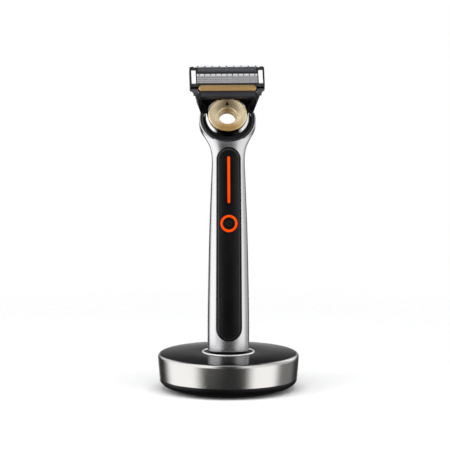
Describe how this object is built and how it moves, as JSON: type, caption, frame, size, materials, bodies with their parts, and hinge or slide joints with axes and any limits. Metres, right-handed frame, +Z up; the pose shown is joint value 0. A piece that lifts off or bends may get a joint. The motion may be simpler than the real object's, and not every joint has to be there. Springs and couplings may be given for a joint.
{
  "type": "cartridge razor with charging dock",
  "caption": "Heated cartridge razor standing in a round charging dock: flared handle with lit button, turning disc head with eject button, pivoting multi-blade cartridge.",
  "frame": {"origin": "centre of the dock's resting face", "axes": "+Z up along the razor, front with the light bar and blades faces -Y, +X to the viewer's right"},
  "size_m": [0.0802, 0.0802, 0.1821],
  "materials": {
    "black_rubber": "matte",
    "base_plastic": "satin moulded",
    "brushed_band": "brushed round, polished rim",
    "gloss_black": "polished",
    "bright_ring": "polished",
    "satin_black": "satin moulded",
    "satin_metal": "fine satin metallic",
    "inlay_black": "fine matte",
    "orange_light": "lit from behind",
    "gold": "satin anodised",
    "gold_bar": "fine matte plated",
    "board_green": "solder mask",
    "copper": "wound wire",
    "ferrite": "sintered",
    "steel": "plain",
    "cell_wrap": "shrink wrap",
    "lamp": "clear",
    "contact_gold": "plated",
    "cartridge_black": "moulded",
    "blade_steel": "ground",
    "clip_metal": "bright",
    "strip_grey": "lubricating strip",
    "rail_grey": "moulded",
    "heater_grey": "plain",
    "guard_grey": "satin moulded"
  },
  "bodies": {
    "dock": {"dock_foot_pad": "black_rubber", "dock_base": "base_plastic", "dock_band": "brushed_band", "dock_top_cover": "gloss_black", "seat_ring": "bright_ring", "seat_cup": "satin_black", "dock_ballast_plate": "steel", "dock_circuit_board": "board_green", "dock_ferrite": "ferrite", "dock_coil": "copper", "dock_magnet": "steel", "power_inlet": "steel", "dock_screws": "steel"},
    "handle": {"handle_shell": "satin_metal", "front_inlay": "inlay_black", "light_bar": "orange_light", "button_light_ring": "orange_light", "internal_carrier": "satin_black", "main_board": "board_green", "tact_switch": "steel", "indicator_leds": "lamp", "battery_cell": "cell_wrap", "end_cap": "satin_black", "end_cap_seal": "black_rubber", "receiver_coil": "copper", "receiver_ferrite": "ferrite", "keeper_plate": "steel", "head_bezel_front": "satin_black", "head_bezel_rear": "satin_black"},
    "power_button": {"power_button": "inlay_black"},
    "head_disc": {"disc_frame": "satin_black", "disc_front_cover": "gloss_black", "disc_rear_cover": "gloss_black", "heater_contacts": "contact_gold"},
    "eject_button": {"eject_button_front": "gold", "eject_button_rear": "gold", "ejector_slider": "satin_black"},
    "cartridge_bridge": {"cartridge_bridge": "satin_black"},
    "cartridge": {"cartridge_frame": "cartridge_black", "razor_blade_1": "blade_steel", "razor_blade_2": "blade_steel", "razor_blade_3": "blade_steel", "razor_blade_4": "blade_steel", "razor_blade_5": "blade_steel", "clip_left": "clip_metal", "clip_right": "clip_metal", "comfort_strip": "strip_grey", "cap_rail": "rail_grey", "warming_bar": "gold_bar", "heater_strip": "heater_grey", "guard_bar": "guard_grey", "pivot_pins": "steel", "contact_pads": "contact_gold"}
  },
  "joints": [
    {"name": "handle_lift", "type": "slide", "parent": "dock", "child": "handle", "axis": [0, 0, 1], "range_m": [0, 0.03]},
    {"name": "power_button_press", "type": "slide", "parent": "handle", "child": "power_button", "axis": [0, 0.9976, -0.0698], "range_m": [0, 0.0005], "stiffness_N_per_m": 1500, "springref_m": -0.0006},
    {"name": "disc_roll", "type": "hinge", "parent": "handle", "child": "head_disc", "pos_m": [0, 0.0115, 0.1516], "axis": [0, -0.766, 0.6428], "range_deg": [-8, 8], "stiffness_Nm_per_rad": 0.25},
    {"name": "eject_press", "type": "slide", "parent": "head_disc", "child": "eject_button", "axis": [0, 0.6428, 0.766], "range_m": [0, 0.002], "stiffness_N_per_m": 800, "springref_m": -0.001},
    {"name": "cartridge_detach", "type": "slide", "parent": "head_disc", "child": "cartridge_bridge", "axis": [0, 0.6428, 0.766], "range_m": [0, 0.012]},
    {"name": "cartridge_pivot", "type": "hinge", "parent": "cartridge_bridge", "child": "cartridge", "pos_m": [0, 0.01095, 0.1674], "axis": [-1, 0, 0], "range_deg": [0, 40], "stiffness_Nm_per_rad": 0.02, "springref_deg": -8.59}
  ]
}
